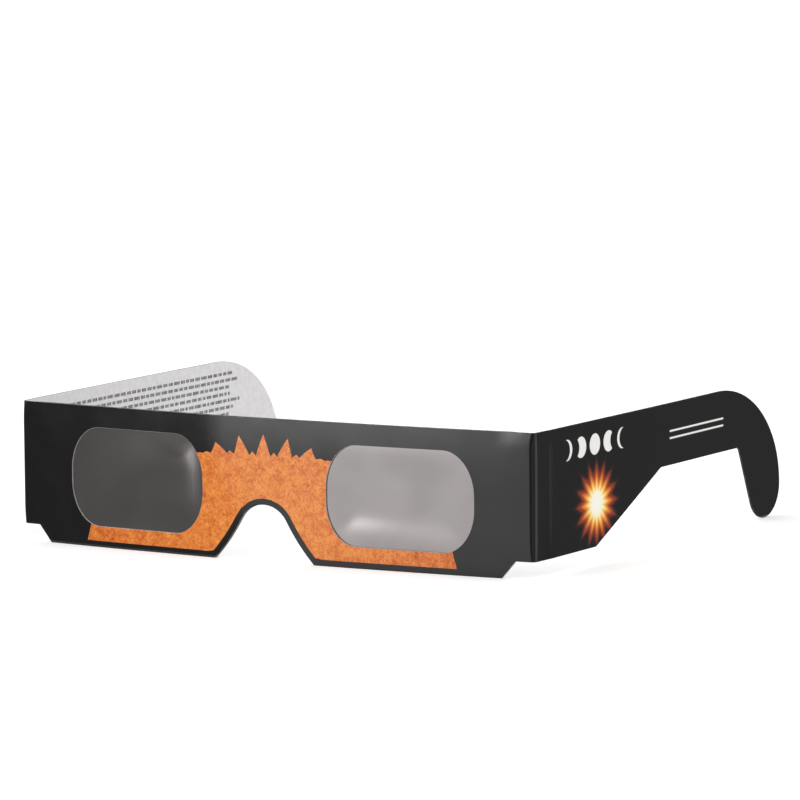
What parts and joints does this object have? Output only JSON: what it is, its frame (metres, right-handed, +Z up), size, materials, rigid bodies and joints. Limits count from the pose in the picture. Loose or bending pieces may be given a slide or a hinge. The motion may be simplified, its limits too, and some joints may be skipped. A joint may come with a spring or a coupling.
{
  "type": "eclipse glasses",
  "caption": "Folding card glasses for looking at the sun, with a dark filter film behind each window, a nose notch and arms that end in ear hooks.",
  "frame": {"origin": "on the table, under the middle of the box round the whole object as it stands open for use", "axes": "+Z up, the printed front faces -Y, the arms run back towards +Y, +X is to the wearer's left as they look out through the front"},
  "size_m": [0.1454, 0.1258, 0.0338],
  "materials": {
    "printed_card": "black print under a satin laminate",
    "backing_card": "uncoated light grey board",
    "metallised_film": "silvery metal coat on polyester film",
    "clear_glue": "dried clear adhesive"
  },
  "bodies": {
    "front": {"front_card": "printed_card", "back_card": "backing_card", "glue_layer": "clear_glue", "left_filter_film": "metallised_film", "right_filter_film": "metallised_film", "left_front_crease": "printed_card", "right_front_crease": "printed_card"},
    "left_strip": {"left_hinge_strip": "printed_card", "left_arm_crease": "printed_card"},
    "left_arm": {"left_arm": "printed_card"},
    "right_strip": {"right_hinge_strip": "printed_card", "right_arm_crease": "printed_card"},
    "right_arm": {"right_arm": "printed_card"}
  },
  "joints": [
    {"name": "right_front_fold", "type": "hinge", "parent": "front", "child": "right_strip", "pos_m": [0.06986, -0.05908, 0.0169], "axis": [0, 0, 1], "range_deg": [-80, 10], "deforming": ["right_front_crease"]},
    {"name": "right_arm_fold", "type": "hinge", "parent": "right_strip", "child": "right_arm", "pos_m": [0.07038, -0.0517, 0.0169], "axis": [0, 0, 1], "range_deg": [-3, 78], "deforming": ["right_arm_crease"]},
    {"name": "left_front_fold", "type": "hinge", "parent": "front", "child": "left_strip", "pos_m": [-0.06986, -0.05908, 0.0169], "axis": [0, 0, -1], "range_deg": [-80, 10], "deforming": ["left_front_crease"]},
    {"name": "left_arm_fold", "type": "hinge", "parent": "left_strip", "child": "left_arm", "pos_m": [-0.07038, -0.0517, 0.0169], "axis": [0, 0, -1], "range_deg": [-3, 81], "deforming": ["left_arm_crease"]}
  ]
}
